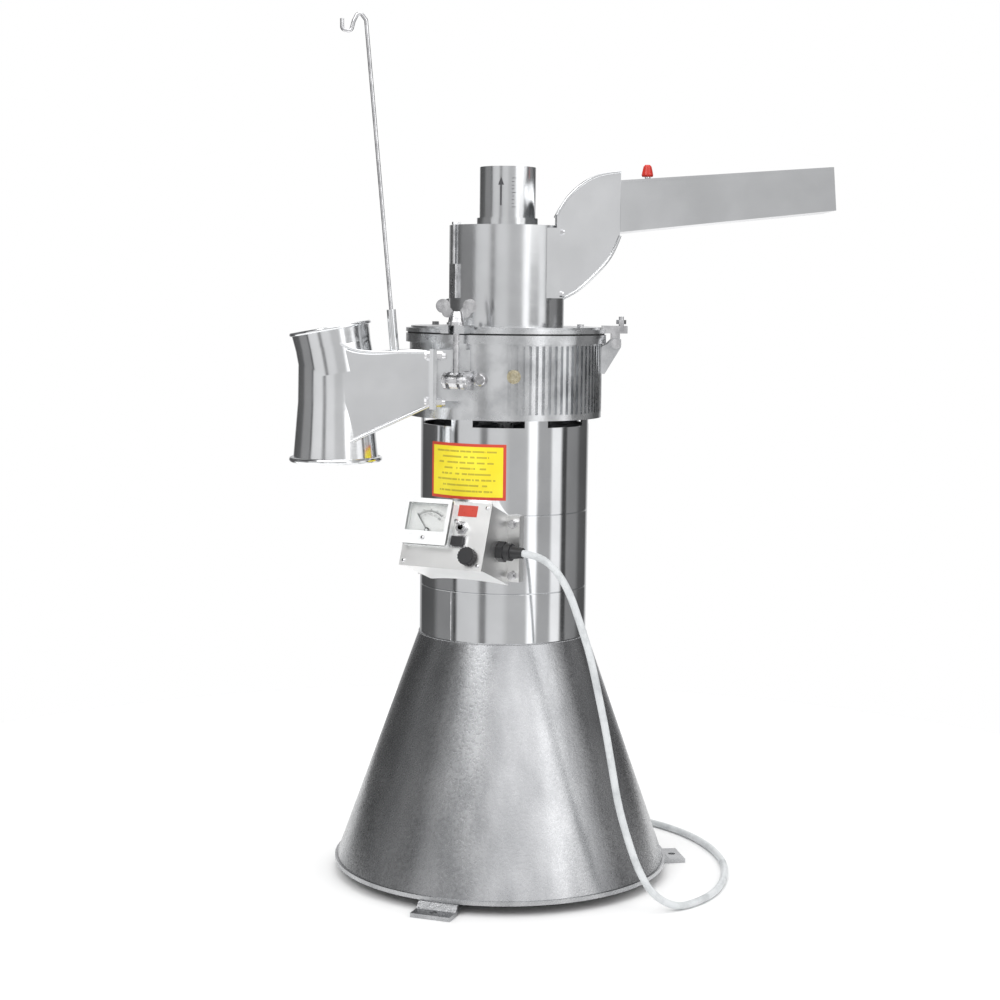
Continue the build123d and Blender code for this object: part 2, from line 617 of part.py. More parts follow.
def ammeter_case():
    """Square meter body with a recess for its dial."""
    case = fillet((Pos(0, 0, 6.5) * Box(60, 54, 9)).edges().filter_by(Axis.Z), 4)
    recess = Pos(0, 5, 9) * Box(52, 34, 6)
    pivot = Pos(0, -9, 8) * Cylinder(1.5, 5)
    return PANEL * Pos(GAUGE_V, GAUGE_W, 0) * (case - recess + pivot)


def ammeter_window():
    """Clear cover over the dial."""
    cover = fillet((Pos(0, 0, 13) * Box(60, 54, 4)).edges().filter_by(Axis.Z), 4)
    return PANEL * Pos(GAUGE_V, GAUGE_W, 0) * (cover - Pos(0, 5, 11) * Box(52, 34, 4))


def ammeter_needle():
    """Thin pointer on the dial's pivot."""
    pointer = Pos(0, 11, 9) * Box(0.9, 26, 0.8) + Cylinder(3, 1.6).moved(Pos(0, 0, 9))
    placed = Rot(0, 0, 40) * (pointer - Cylinder(1.5 + FIT, 30))
    return PANEL * Pos(GAUGE_V, GAUGE_W - 9, 0) * placed


def panel_plate():
    """Small plain plate over the switch."""
    return PANEL * Pos(PLATE_V, PLATE_W, 2.4) * Box(24, 13, 0.8)


def switch_bezels():
    """The toggle's threaded collar and nut, and the button's frame."""
    collar = Pos(0, 0, 3.5) * Cylinder(6, 7) + Pos(0, 0, 2) * extrude(RegularPolygon(8, 6), 2.5)
    ball_seat = Pos(0, 0, 4) * Cylinder(3.4, 12)
    frame = Pos(0, 0, 3.2) * Box(20, 15, 2.4) - Pos(0, 0, 3) * Box(15, 11, 8)
    toggle_at, button_at = PANEL * Pos(TOGGLE_V, TOGGLE_W, 0), PANEL * Pos(BUTTON_V, BUTTON_W, 0)
    return toggle_at * (collar - ball_seat), button_at * frame


def toggle_lever():
    """Bat lever, thicker at its tip, leaning to its upper throw."""
    lever = turned([(0, 1), (1.4, 1), (1.5, 8), (2.4, 19), (1.6, 21), (0, 21)])
    return PANEL * Pos(TOGGLE_V, TOGGLE_W, 0) * Rot(-12, 0, 0) * lever


def reset_button():
    """Push button with a stem behind the panel."""
    return PANEL * Pos(BUTTON_V, BUTTON_W, 0) * (Pos(0, 0, 5) * Box(14.4, 10.4, 7)
                                                + Pos(0, 0, -2) * Cylinder(3, 8))


def round_knob():
    """Ribbed knob with a skirt."""
    knob = Pos(0, 0, 7) * Cylinder(9.5, 9)
    for rib in around(18, Pos(9.5, 0, 7) * Box(1.6, 1.6, 8)):
        knob += rib
    return PANEL * Pos(KNOB_V, KNOB_W, 0) * (knob + Pos(0, 0, -1) * Cylinder(3.6, 9))


def cable_gland():
    """Gland nut on the box's side and a tapered strain relief."""
    nut = extrude(RegularPolygon(12, 6), 9) + Pos(0, 0, 9) * Cylinder(10, 8, align=(
        Align.CENTER, Align.CENTER, Align.MIN))
    relief = turned([(0, 17), (8, 17), (6, 31), (0, 31)])
    thread = Pos(0, 0, -4) * Cylinder(7, 8)
    whole = nut + relief + thread - Pos(0, 0, 20) * Cylinder(CORD_R + FIT, 60)
    return YAW * on_axis((BOX_HALF_W, -115, 395), (1, 0, 0), whole)


def label_plate():
    """Thin plate curved to the column."""
    return ring(COLUMN_R, COLUMN_R + 0.8, 451, 516, -147, 58)


# --- Mains lead ---------------------------------------------------------------------------------
CORD_ROUTE = [
    (11.9, -135.2, 407), (36, -147.5, 407), (58, -156, 393), (75, -161, 366), (87, -164, 332),
    (99, -166, 296), (109, -166.5, 252), (118.5, -166, 208), (126.5, -167, 164), (134, -169, 122),
    (145, -174, 84), (158, -180, 48), (175, -182, 20), (202, -176, FLOOR_CORD_Z),
    (229, -154, FLOOR_CORD_Z), (251, -121, FLOOR_CORD_Z),
    (266, -80, FLOOR_CORD_Z), (275, -34, FLOOR_CORD_Z), (277, 14, FLOOR_CORD_Z), (270, 62, FLOOR_CORD_Z),
    (255, 108, FLOOR_CORD_Z), (232, 150, FLOOR_CORD_Z), (201, 186, FLOOR_CORD_Z),
    (163, 213, FLOOR_CORD_Z), (122, 230, FLOOR_CORD_Z), (82, 238, FLOOR_CORD_Z),
    (48.6, 237.5, FLOOR_CORD_Z),
]
TAIL_ROUTE = [(-8.6, 237.5, 30), (-38, 238.5, 26), (-66, 242, 16), (-92, 248, 9.8), (-112, 253, 9.8)]


def cord_tube(points):
    """Straight runs joined by arcs as large as the runs allow."""
    corners = [Vector(*p) for p in points]
    runs = [(b - a).length for a, b in zip(corners, corners[1:])]
    radii = []
    for i in range(1, len(corners) - 1):
        turn = (corners[i] - corners[i - 1]).get_angle(corners[i + 1] - corners[i])
        radii.append(0.45 * min(runs[i - 1], runs[i]) / tan(radians(turn / 2)))
    path = FilletPolyline(*corners, radius=radii)
    return sweep(Plane(origin=corners[0], z_dir=corners[1] - corners[0]) * Circle(CORD_R), path=path)


def cord_coil():
    """The outer shape of three stacked turns."""
    return Pos(COIL_AT[0], COIL_AT[1], 0) * ring(COIL_R - CORD_R, COIL_R + CORD_R, 0.05, 34.2)


def power_plug():
    """Three-pin plug lying on the floor at the lead's end."""
    body = fillet((Pos(0, 0, 20) * Box(34, 19, 32)).edges().filter_by(Axis.Z), 5)
    neck = turned([(0, -14), (CORD_R + 2, -14), (8, 5), (0, 5)])
    blades = (-8, 2, 2, 6.3), (8, 2, 2, 6.3), (0, -5, 6.3, 2)
    pins = [Pos(x, y, 44) * Box(w, h, 18) for x, y, w, h in blades]
    whole = body + neck - Pos(0, 0, -11) * Cylinder(CORD_R + FIT, 6)
    for pin in pins:
        whole += pin
    direction = Vector(-20, 5, 0)
    frame = Plane(origin=(-119.8, 254.95, 9.8), x_dir=direction.cross(Vector(0, 0, 1)), z_dir=direction)
    return frame * whole


# --- Write every node ---------------------------------------------------------------------------
write("base_skirt", base_skirt(), lift=0)
write("base_feet", *base_feet(), lift=0)
write("lower_shell", column_shell(SHELL_Z, SEAM_LOW))
write("middle_shell", column_shell(SEAM_LOW, SEAM_HIGH))
write("upper_shell", upper_shell())
write("motor_end_plates", *motor_end_plates())
write("motor_stator", motor_stator())
write("motor_bearings", *motor_bearings())
write("motor_shaft", motor_shaft())
write("rotor_core", ring(SHAFT_R[1], 49.4, 356, 456))
write("cooling_fan", cooling_fan())
write("mill_ring", mill_ring())
write("chamber_floor", chamber_floor())
write("toothed_liner", toothed_liner())
write("chamber_gasket", ring(CHAMBER_R + 2, RING_LIP_R - 2, RING_TOP, LID_Z))
write("outlet_spout", outlet_spout())
write("outlet_bolts", *ring_fasteners())
write("earth_screw", earth_screw())
write("outlet_duct", outlet_duct())
write("bag_hook", bag_hook())
write("rotor_discs", rotor_discs())
write("rotor_fasteners", *rotor_fasteners())
for number, placed_hammer in enumerate(around(4, hammer(), 45), start=1):
    write(f"hammer_{number}", placed_hammer)
write("impeller", impeller())
write("lid_flange", *lid_flange())
write("lid_screws", *lid_screws(), *chute_screws())
write("hinge_bar", hinge_bar())
write("hinge_pins", *hinge_pins())
write("clamp_brackets", *clamp_brackets())
write("swing_bolt_front", swing_bolt(-1))
write("swing_bolt_back", swing_bolt(1))
write("wing_nut_front", wing_nut(-1))
write("wing_nut_back", wing_nut(1))
write("upper_cylinder", upper_cylinder())
write("scale_strap", scale_strap())
write("fineness_tube", fineness_tube())
write("tube_lock_screw", tube_lock_screw())
write("feed_chute", feed_chute())
write("feed_tray", feed_tray())
write("feed_gate", feed_gate())
write("gate_knob", gate_knob())
write("control_box", control_box())
write("control_panel", control_panel())
write("box_nuts", *box_nuts())
write("ammeter_case", ammeter_case())
write("ammeter_window", ammeter_window())
write("ammeter_needle", ammeter_needle())
write("panel_plate", panel_plate())
write("switch_bezels", *switch_bezels())
write("toggle_lever", toggle_lever())
write("reset_button", reset_button())
write("round_knob", round_knob())
write("cable_gland", cable_gland())
write("label_plate", label_plate())
write("power_cord", cord_tube(CORD_ROUTE), cord_tube(TAIL_ROUTE), lift=0)
write("cord_coil", cord_coil(), lift=0)
write("power_plug", power_plug(), lift=0)
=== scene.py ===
from math import cos, pi, radians, sin

import bmesh
import bpy
from mathutils import Matrix, Vector


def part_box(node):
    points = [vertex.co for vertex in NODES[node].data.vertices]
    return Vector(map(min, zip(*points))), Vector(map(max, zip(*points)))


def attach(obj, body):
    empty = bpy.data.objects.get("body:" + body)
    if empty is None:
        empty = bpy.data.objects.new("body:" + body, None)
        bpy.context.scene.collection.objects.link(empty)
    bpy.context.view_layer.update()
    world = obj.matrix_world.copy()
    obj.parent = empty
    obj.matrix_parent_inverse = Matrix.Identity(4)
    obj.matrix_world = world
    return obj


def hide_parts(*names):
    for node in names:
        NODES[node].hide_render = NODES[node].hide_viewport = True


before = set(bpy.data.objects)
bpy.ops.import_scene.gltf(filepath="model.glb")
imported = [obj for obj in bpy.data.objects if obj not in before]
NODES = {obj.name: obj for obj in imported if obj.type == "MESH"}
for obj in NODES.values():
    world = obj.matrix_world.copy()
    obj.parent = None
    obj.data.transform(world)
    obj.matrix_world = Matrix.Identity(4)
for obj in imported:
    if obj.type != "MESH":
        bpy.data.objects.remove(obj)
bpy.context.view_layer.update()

# --- Camera: a little above the mill ring, tilted down -------------------------------------------
CAMERA_AT = (-0.005, -2.33, 0.70)
CAMERA_PITCH, CAMERA_ROLL, LENS = 6.05, 0.67, 69.6

# --- Mains lead, in metres -----------------------------------------------------------------------
CORD_D, CORD_LENGTH = 0.0085, 2.11
COIL_AT, COIL_R, COIL_TURNS, COIL_STEPS = (0.020, 0.285), 0.0475, 3, 16
CORD_Z, COIL_TOP_Z = 0.0043, 0.030
CORD_ROUTE = [
    (0.0119, -0.1352, 0.407), (0.036, -0.1475, 0.407), (0.058, -0.156, 0.393), (0.075, -0.161, 0.366),
    (0.087, -0.164, 0.332), (0.099, -0.166, 0.296), (0.109, -0.1665, 0.252), (0.1185, -0.166, 0.208),
    (0.1265, -0.167, 0.164), (0.134, -0.169, 0.122), (0.145, -0.174, 0.084), (0.158, -0.180, 0.048),
    (0.175, -0.182, 0.020), (0.202, -0.176, CORD_Z), (0.229, -0.154, CORD_Z), (0.251, -0.121, CORD_Z),
    (0.266, -0.080, CORD_Z), (0.275, -0.034, CORD_Z), (0.277, 0.014, CORD_Z), (0.270, 0.062, CORD_Z),
    (0.255, 0.108, CORD_Z), (0.232, 0.150, CORD_Z), (0.201, 0.186, CORD_Z), (0.163, 0.213, CORD_Z),
    (0.122, 0.230, CORD_Z), (0.082, 0.238, CORD_Z), (0.0486, 0.2375, CORD_Z),
]
TAIL_ROUTE = [(-0.0086, 0.2375, COIL_TOP_Z), (-0.038, 0.2385, 0.026), (-0.066, 0.242, 0.016),
              (-0.092, 0.248, 0.0098), (-0.112, 0.253, 0.0098)]

# --- Control panel's frame: yawed to the left and pitched up -------------------------------------
BOX_YAW, BOX_PITCH = radians(-27), radians(20)
PANEL = (Matrix.Rotation(BOX_YAW, 4, "Z") @ Matrix.Translation((0, -0.146, 0.426))
         @ Matrix.Rotation(pi / 2 - BOX_PITCH, 4, "X"))
GAUGE_V, GAUGE_W = -0.021, 0.011    # middle of the meter, across and up the panel
PIVOT_DROP = 0.009                  # the needle's pivot is this far below it


# --- Helpers -------------------------------------------------------------------------------------
def add_mesh(name, bm, material, body, smooth=True):
    """A new piece from a bmesh, with its material and body."""
    mesh = bpy.data.meshes.new(name)
    bm.to_mesh(mesh)
    bm.free()
    piece = bpy.data.objects.new(name, mesh)
    bpy.context.scene.collection.objects.link(piece)
    for face in mesh.polygons:
        face.use_smooth = smooth
    mesh.materials.append(material)
    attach(piece, body)
    return piece


def tube_along(name, points, radius, material, body, cyclic=False):
    """A round tube that follows points; each point carries the radius, so the piece's box is true."""
    curve = bpy.data.curves.new(name, "CURVE")
    curve.dimensions = "3D"
    curve.bevel_depth = 1.0
    curve.bevel_resolution = 4
    spline = curve.splines.new("NURBS")
    spline.points.add(len(points) - 1)
    for point, at in zip(spline.points, points):
        point.co = (*at, 1)
        point.radius = radius
    spline.order_u = 3
    spline.use_endpoint_u = not cyclic
    spline.use_cyclic_u = cyclic
    piece = bpy.data.objects.new(name, curve)
    bpy.context.scene.collection.objects.link(piece)
    curve.materials.append(material)
    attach(piece, body)
    return piece


def lathed(name, profile, matrix, material, body, steps=32):
    """A turned piece from an (r, z) profile, placed by a matrix."""
    bm = bmesh.new()
    rings = []
    for radius, height in profile:
        rings.append([bm.verts.new(matrix @ Vector((radius * cos(2 * pi * i / steps),
                                                    radius * sin(2 * pi * i / steps), height)))
                      for i in range(steps)])
    for low, high in zip(rings, rings[1:]):
        for i in range(steps):
            j = (i + 1) % steps
            bm.faces.new((low[i], low[j], high[j], high[i]))
    bm.faces.new(rings[0][::-1])
    bm.faces.new(rings[-1])
    return add_mesh(name, bm, material, body, smooth=False)


def facing(at, direction):
    """A frame at a point with its Z along a direction."""
    return Matrix.Translation(at) @ Vector(direction).to_track_quat("Z", "Y").to_matrix().to_4x4()


def paint(material, *nodes):
    """Give CAD nodes a material."""
    for name in nodes:
        piece = NODES[name]
        piece.data.materials.clear()
        piece.data.materials.append(material)


# --- Materials -----------------------------------------------------------------------------------
class Shader:
    """A Principled material with short calls for the nodes that it is built from."""

    def __init__(self, name, colour, metallic=0.0, roughness=0.5, **sockets):
        self.material = bpy.data.materials.new(name)
        self.material.use_nodes = True
        self.tree = self.material.node_tree
        self.principled = self.tree.nodes["Principled BSDF"]
        self.principled.inputs["Base Color"].default_value = (*colour, 1)
        self.principled.inputs["Metallic"].default_value = metallic
        self.principled.inputs["Roughness"].default_value = roughness
        for socket, value in sockets.items():
            self.principled.inputs[socket].default_value = value
        self.coordinates = self.tree.nodes.new("ShaderNodeTexCoord").outputs["Object"]

    def node(self, kind, inputs=None, **settings):
        """A new node; an input is a value or another node's output."""
        made = self.tree.nodes.new(kind)
        for key, value in settings.items():
            setattr(made, key, value)
        for key, value in (inputs or {}).items():
            if hasattr(value, "is_output"):
                self.tree.links.new(value, made.inputs[key])
            else:
                made.inputs[key].default_value = value
        return made

    def scaled(self, scale):
        """Object coordinates, stretched."""
        made = self.node("ShaderNodeMapping", {"Vector": self.coordinates, "Scale": scale})
        return made.outputs["Vector"]

    def noise(self, scale, detail=4.0, stretch=(1, 1, 1), rough=0.5):
        return self.node("ShaderNodeTexNoise", {"Vector": self.scaled(stretch), "Scale": scale,
                                                "Detail": detail, "Roughness": rough}).outputs["Fac"]

    def ramp(self, value, *stops):
        """A colour ramp with (position, colour) stops."""
        made = self.node("ShaderNodeValToRGB", {"Fac": value})
        elements = made.color_ramp.elements
        while len(elements) < len(stops):
            elements.new(0.5)
        for element, (at, colour) in zip(elements, stops):
            element.position = at
            element.color = (*colour, 1) if len(colour) == 3 else colour
        return made.outputs["Color"]

    def spread(self, value, low, high, source=(0.3, 0.7)):
        """Map a texture's value to a range."""
        made = self.node("ShaderNodeMapRange", {"Value": value, "From Min": source[0],
                                                "From Max": source[1], "To Min": low, "To Max": high})
        return made.outputs["Result"]

    def math(self, operation, a, b=0.0):
        return self.node("ShaderNodeMath", {0: a, 1: b}, operation=operation).outputs["Value"]

    def mix(self, factor, a, b):
        made = self.node("ShaderNodeMix", data_type="RGBA")
        for key, value in (("Factor", factor), ("A", a), ("B", b)):
            socket = next(s for s in made.inputs if s.name == key and s.enabled)
            if hasattr(value, "is_output"):
                self.tree.links.new(value, socket)
            elif key == "Factor":
                socket.default_value = value
            else:
                socket.default_value = (*value, 1)
        return next(s for s in made.outputs if s.enabled)

    def link(self, output, socket):
        self.tree.links.new(output, self.principled.inputs[socket])

    def bump(self, height, strength, distance):
        made = self.node("ShaderNodeBump", {"Height": height, "Strength": strength, "Distance": distance})
        self.tree.links.new(made.outputs["Normal"], self.principled.inputs["Normal"])


def polished_steel(name, colour=(0.80, 0.81, 0.82), rough=(0.05, 0.14), wave=0.0010, lines=0.12):
    """Turned or rolled stainless: round streaks, slow waves in the sheet and faint smears."""
    s = Shader(name, colour, metallic=1.0)
    smear = s.noise(9, 5, (1, 1, 2.2), 0.6)
    streak = s.noise(60, 3, (0.12, 0.12, 16))
    both = s.math("ADD", s.math("MULTIPLY", smear, 0.7), s.math("MULTIPLY", streak, 0.3))
    s.link(s.spread(both, *rough), "Roughness")
    s.link(s.ramp(s.noise(14, 4), (0.35, tuple(0.90 * c for c in colour)), (0.65, colour)), "Base Color")
    wave_height = s.math("MULTIPLY", s.noise(7, 2), 1.0)
    fine = s.math("MULTIPLY", streak, lines * 0.1)
    s.bump(s.math("ADD", wave_height, fine), 0.35, wave)
    return s.material


def cast_steel():
    """Machined casting with fine pits and a duller skin in places."""
    s = Shader("cast_steel", (0.72, 0.73, 0.74), metallic=1.0)
    cloud = s.noise(22, 6, rough=0.6)
    s.link(s.spread(cloud, 0.16, 0.34), "Roughness")
    s.link(s.ramp(s.noise(35, 5), (0.3, (0.56, 0.57, 0.58)), (0.62, (0.78, 0.79, 0.80))), "Base Color")
    s.bump(s.noise(420, 3), 0.25, 0.0003)
    return s.material


def skirt_steel():
    """Dull rolled plate: mottled, with small pale flecks and vertical rubs."""
    s = Shader("skirt_steel", (0.2, 0.2, 0.21), metallic=1.0)
    cloud = s.noise(6, 6, (1, 1, 0.7), 0.62)
    grain = s.noise(260, 4, (1, 1, 1), 0.7)
    rub = s.noise(30, 4, (1, 1, 0.15))
    tone = s.math("ADD", s.math("MULTIPLY", cloud, 0.55), s.math("MULTIPLY", rub, 0.45))
    base = s.ramp(tone, (0.36, (0.33, 0.335, 0.345)), (0.5, (0.44, 0.445, 0.455)),
                  (0.64, (0.55, 0.555, 0.565)))
    fleck = s.ramp(grain, (0.60, (0, 0, 0)), (0.70, (1, 1, 1)))
    s.link(s.mix(s.math("MULTIPLY", fleck, 0.55), base, (0.52, 0.53, 0.54)), "Base Color")
    s.link(s.spread(grain, 0.22, 0.33), "Roughness")
    s.bump(s.math("ADD", grain, s.math("MULTIPLY", s.noise(5, 2), 2.0)), 0.3, 0.0005)
    return s.material


def plated_hardware():
    """Plated bolts and levers, a little worn."""
    s = Shader("hardware", (0.78, 0.78, 0.79), metallic=1.0)
    s.link(s.spread(s.noise(140, 4), 0.12, 0.32), "Roughness")
    s.link(s.ramp(s.noise(90, 5), (0.32, (0.52, 0.52, 0.53)), (0.6, (0.82, 0.82, 0.83))), "Base Color")
    s.bump(s.noise(600, 2), 0.2, 0.0002)
    return s.material


def worked_iron(name, colour, rough):
    """Bare inner iron and ground steel."""
    s = Shader(name, colour, metallic=1.0)
    s.link(s.spread(s.noise(120, 5), *rough), "Roughness")
    s.link(s.ramp(s.noise(40, 5), (0.3, tuple(0.7 * c for c in colour)), (0.7, colour)), "Base Color")
    s.bump(s.noise(300, 4), 0.3, 0.0003)
    return s.material


def brass():
    """Pale, slightly tarnished brass."""
    s = Shader("brass", (0.74, 0.66, 0.46), metallic=1.0)
    s.link(s.ramp(s.noise(300, 4), (0.3, (0.52, 0.46, 0.30)), (0.6, (0.80, 0.73, 0.54))), "Base Color")
    s.link(s.spread(s.noise(200, 3), 0.15, 0.35), "Roughness")
    s.bump(s.noise(500, 2), 0.2, 0.0002)
    return s.material


def moulded(name, colour, rough=(0.32, 0.5), grain=0.00012):
    """Moulded plastic with a fine texture and a slight change of tone."""
    s = Shader(name, colour)
    s.link(s.ramp(s.noise(60, 4), (0.3, tuple(0.82 * c for c in colour)), (0.7, colour)), "Base Color")
    s.link(s.spread(s.noise(150, 3), *rough), "Roughness")
    s.bump(s.noise(1800, 2), 0.3, grain)
    return s.material


def cord_jacket():
    """Soft pale jacket with faint dirt and slow ripples."""
    s = Shader("cord_jacket", (0.70, 0.72, 0.73))
    dirt = s.noise(38, 6, rough=0.65)
    s.link(s.ramp(dirt, (0.30, (0.46, 0.48, 0.49)), (0.55, (0.64, 0.66, 0.67))), "Base Color")
    s.link(s.spread(s.noise(90, 3), 0.38, 0.55), "Roughness")
    s.bump(s.noise(260, 3), 0.25, 0.0003)
    return s.material


def window_plastic():
    """Clear polystyrene meter window, part see-through so that light reaches the card."""
    clear = {"IOR": 1.49, "Transmission Weight": 1.0, "Alpha": 0.25}
    s = Shader("meter_window", (0.97, 0.99, 0.98), **clear)
    s.link(s.spread(s.noise(80, 4), 0.02, 0.09), "Roughness")
    s.bump(s.noise(25, 2), 0.1, 0.0002)
    return s.material


def label_yellow():
    """Printed yellow plate: red border, plain dark rules in place of words, slight fading."""
    s = Shader("label_yellow", (0.92, 0.78, 0.02), roughness=0.38)
    xyz = s.node("ShaderNodeSeparateXYZ", {"Vector": s.coordinates}).outputs
    low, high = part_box("label_plate")
    middle_angle, half_angle = radians(-118), radians(29)
    turn = s.math("SUBTRACT", s.math("ARCTAN2", xyz["Y"], xyz["X"]), middle_angle)
    across = s.math("DIVIDE", s.math("ABSOLUTE", turn), half_angle)
    rise = s.math("DIVIDE", s.math("ABSOLUTE", s.math("SUBTRACT", xyz["Z"], (low.z + high.z) / 2)),
                  (high.z - low.z) / 2)
    border = s.math("MAXIMUM", s.math("GREATER_THAN", across, 0.93), s.math("GREATER_THAN", rise, 0.895))
    rows = s.math("FRACT", s.math("MULTIPLY", s.math("SUBTRACT", xyz["Z"], low.z), 1 / 0.0066))
    row_index = s.math("FLOOR", s.math("MULTIPLY", s.math("SUBTRACT", xyz["Z"], low.z), 1 / 0.0066))
    row_mask = s.math("MULTIPLY", s.math("GREATER_THAN", rows, 0.30), s.math("LESS_THAN", rows, 0.62))
    shift = s.math("FRACT", s.math("MULTIPLY", row_index, 0.618))
    width = s.math("LESS_THAN", across, s.math("ADD", 0.52, s.math("MULTIPLY", shift, 0.28)))
    dash = s.node("ShaderNodeTexNoise", {"Vector": s.node("ShaderNodeCombineXYZ", {
        "X": s.math("MULTIPLY", turn, 9.0), "Y": s.math("MULTIPLY", row_index, 3.7), "Z": 0.0}).outputs[0],
        "Scale": 3.0, "Detail": 2.0}).outputs["Fac"]
    inside = s.math("MULTIPLY", s.math("LESS_THAN", rise, 0.78), s.math("GREATER_THAN", dash, 0.42))
    rules = s.math("MULTIPLY", s.math("MULTIPLY", row_mask, width), inside)
    yellow = s.ramp(s.noise(26, 4), (0.3, (0.88, 0.72, 0.015)), (0.65, (0.95, 0.83, 0.04)))
    printed = s.mix(s.math("MULTIPLY", rules, 0.62), yellow, (0.30, 0.22, 0.03))
    s.link(s.mix(border, printed, (0.62, 0.06, 0.03)), "Base Color")
    s.link(s.spread(s.noise(70, 3), 0.28, 0.46), "Roughness")
    return s.material


def floor_paper():
    """Plain pale floor with a faint change of tone."""
    s = Shader("floor_paper", (0.90, 0.90, 0.90), roughness=0.75)
    s.link(s.ramp(s.noise(2.0, 2), (0.2, (0.88, 0.88, 0.88)), (0.8, (0.92, 0.92, 0.92))), "Base Color")
    return s.material


# --- Camera and cord -----------------------------------------------------------------------------
def make_camera():
    """The view that the mill is seen from."""
    data = bpy.data.cameras.new("camera")
    data.lens = LENS
    data.sensor_width = 36
    data.clip_end = 50
    camera = bpy.data.objects.new("camera", data)
    bpy.context.scene.collection.objects.link(camera)
    aim = Matrix.Rotation(radians(90 - CAMERA_PITCH), 4, "X") @ Matrix.Rotation(radians(CAMERA_ROLL), 4, "Z")
    camera.matrix_world = Matrix.Translation(CAMERA_AT) @ aim
    bpy.context.scene.camera = camera


def coil_points():
    """Three stacked turns, wound clockwise upward from the point nearest the mill."""
    count = COIL_TURNS * COIL_STEPS
    radius = COIL_R / cos(pi / COIL_STEPS)
    points = []
    for i in range(1, count):
        angle = -pi / 2 - 2 * pi * i / COIL_STEPS
        height = CORD_Z + (COIL_TOP_Z - CORD_Z) * i / count
        points.append((COIL_AT[0] + radius * cos(angle), COIL_AT[1] + radius * sin(angle), height))
    return points


def make_cord(jacket):
    """The mains lead on one smooth line: down from the gland, over the floor and into its coil."""
    points = CORD_ROUTE + [(COIL_AT[0], COIL_AT[1] - COIL_R, CORD_Z)] + coil_points() + [
        (COIL_AT[0], COIL_AT[1] - COIL_R, COIL_TOP_Z)] + TAIL_ROUTE
    lead = tube_along("mains_lead", points, CORD_D / 2, jacket, "mill")
    lead.data.resolution_u = 10
    lead.data.bevel_resolution = 6
    lead.data.use_fill_caps = True
    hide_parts("power_cord", "cord_coil")


make_camera()
jacket = cord_jacket()
make_cord(jacket)


# --- Finishes of the CAD nodes -------------------------------------------------------------------
def paint_nodes():
    """Give every CAD node its finish."""
    polished = polished_steel("polished_steel")
    tray = polished_steel("tray_steel", (0.84, 0.85, 0.86), (0.05, 0.16), 0.0060, 0.05)
    drum = polished_steel("drum_steel", (0.78, 0.79, 0.80), (0.14, 0.26), 0.0007, 0.3)
    box_sheet = polished_steel("box_steel", (0.91, 0.91, 0.90), (0.26, 0.40), 0.0009, 0.1)
    sheet = polished_steel("sheet_steel", (0.93, 0.94, 0.95), (0.10, 0.20), 0.0045, 0.15)
    cast, plated = cast_steel(), plated_hardware()
    iron = worked_iron("motor_iron", (0.24, 0.24, 0.25), (0.4, 0.6))
    ground = worked_iron("hard_steel", (0.55, 0.55, 0.56), (0.2, 0.4))
    skirt = skirt_steel()
    black = moulded("black_plastic", (0.022, 0.022, 0.024))
    paint(skirt, "base_skirt", "base_feet")
    paint(polished, "lower_shell", "middle_shell", "upper_shell", "feed_gate")
    paint(sheet, "outlet_duct", "feed_chute")
    paint(drum, "upper_cylinder", "fineness_tube")
    paint(tray, "feed_tray")
    paint(box_sheet, "control_box", "control_panel")
    paint(cast, "mill_ring", "outlet_spout", "lid_flange")
    paint(plated, "outlet_bolts", "hinge_pins", "clamp_brackets", "box_nuts", "switch_bezels", "lid_screws",
          "hinge_bar", "scale_strap", "tube_lock_screw", "wing_nut_front", "wing_nut_back",
          "swing_bolt_front", "swing_bolt_back", "bag_hook", "toggle_lever")
    paint(iron, "motor_end_plates", "motor_stator", "rotor_core", "cooling_fan")
    paint(ground, "motor_bearings", "chamber_floor", "toothed_liner", "motor_shaft", "rotor_discs",
          "rotor_fasteners", "impeller", "hammer_1", "hammer_2", "hammer_3", "hammer_4")
    paint(brass(), "earth_screw")
    paint(moulded("gasket_rubber", (0.02, 0.02, 0.02), (0.55, 0.75)), "chamber_gasket")
    paint(black, "cable_gland", "reset_button", "round_knob")
    paint(moulded("meter_plastic", (0.88, 0.90, 0.90), (0.22, 0.36)), "ammeter_case")
    paint(window_plastic(), "ammeter_window")
    paint(moulded("needle_paint", (0.03, 0.03, 0.03)), "ammeter_needle")
    paint(moulded("red_plate", (0.62, 0.06, 0.035), (0.25, 0.4)), "panel_plate")
    paint(moulded("red_plastic", (0.70, 0.035, 0.02), (0.2, 0.35)), "gate_knob")
    paint(label_yellow(), "label_plate")
    paint(jacket, "power_plug")
    return polished, plated


polished, plated = paint_nodes()


# --- Meter face ----------------------------------------------------------------------------------
SCALE_R, SCALE_DEPTH = 0.0228, 0.0064    # the arc's radius, and its height over the panel
NUMBER_R = 0.0190


def panel_polygon(bm, outline, depth, thickness=0.00025):
    """A thin plate on the panel, from (across, up) points about the meter's pivot."""
    low, high = [
        [bm.verts.new(PANEL @ Vector((GAUGE_V + x, GAUGE_W - PIVOT_DROP + y, z))) for x, y in outline]
        for z in (depth, depth + thickness)]
    bm.faces.new(high)
    bm.faces.new(low[::-1])
    for i in range(len(outline)):
        j = (i + 1) % len(outline)
        bm.faces.new((low[i], low[j], high[j], high[i]))


def arc_outline(r_in, r_out, start, end, steps):
    """A flat arc band; angles in degrees from straight up, positive to the viewer's left."""
    angles = [radians(start + (end - start) * i / steps) for i in range(steps + 1)]
    return [(-r_out * sin(a), r_out * cos(a)) for a in angles] + [
        (-r_in * sin(a), r_in * cos(a)) for a in reversed(angles)]


